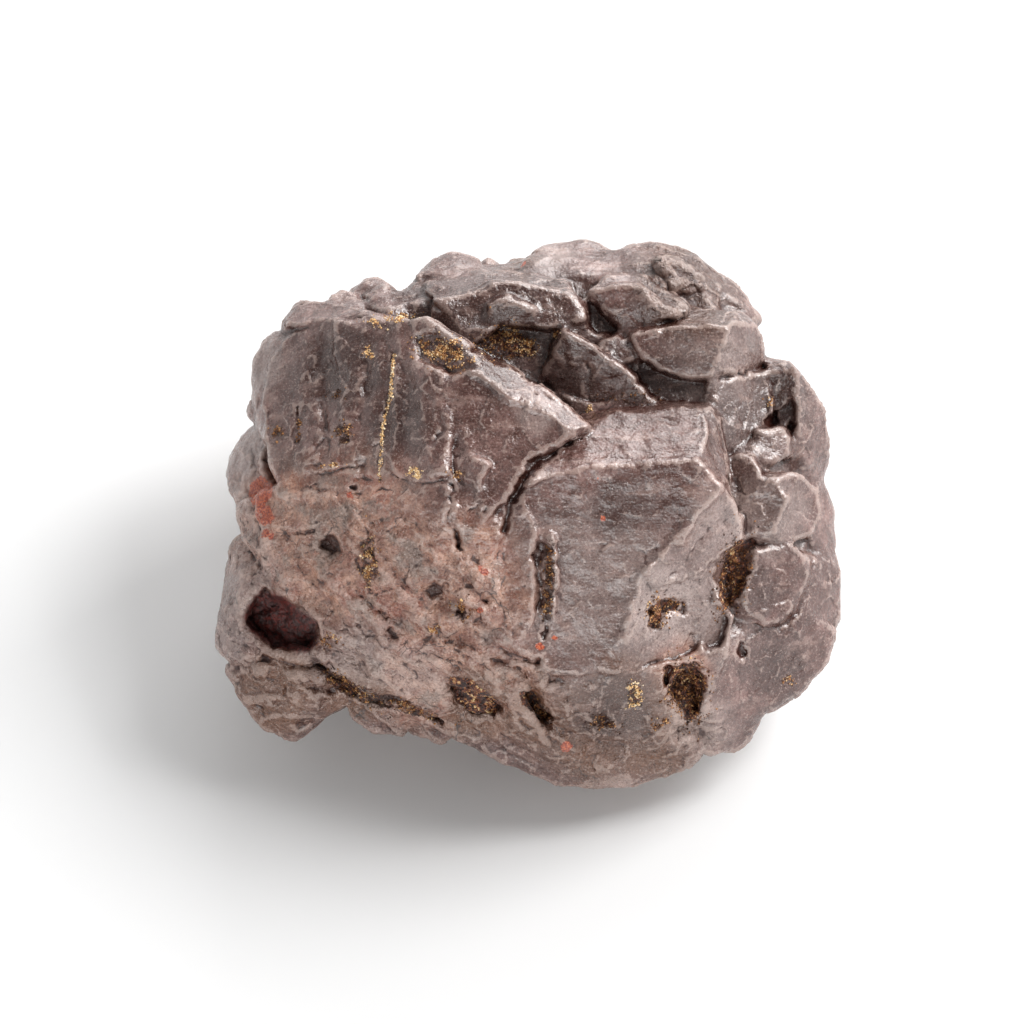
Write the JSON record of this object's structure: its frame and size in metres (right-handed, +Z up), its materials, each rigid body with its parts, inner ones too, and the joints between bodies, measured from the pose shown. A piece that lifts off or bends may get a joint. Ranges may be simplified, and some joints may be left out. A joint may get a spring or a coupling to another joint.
{
  "type": "prophecy stone",
  "caption": "Rough lump of intergrown dull brown-grey iron-oxide crystals, with flat faces, ledges and pits, that rests on a flat crystal face.",
  "frame": {"origin": "on the flat crystal face that the stone rests on", "axes": "+X along the stone's longest side, +Z up from the face it rests on, -Y the front, from which the best face is seen"},
  "size_m": [0.0502, 0.0404, 0.0318],
  "materials": {
    "iron_oxide": "dull to faintly waxy brown-grey iron oxide, rust-red patches, ochre grains in the pits"
  },
  "bodies": {
    "root": {"stone": "iron_oxide"}
  },
  "joints": []
}
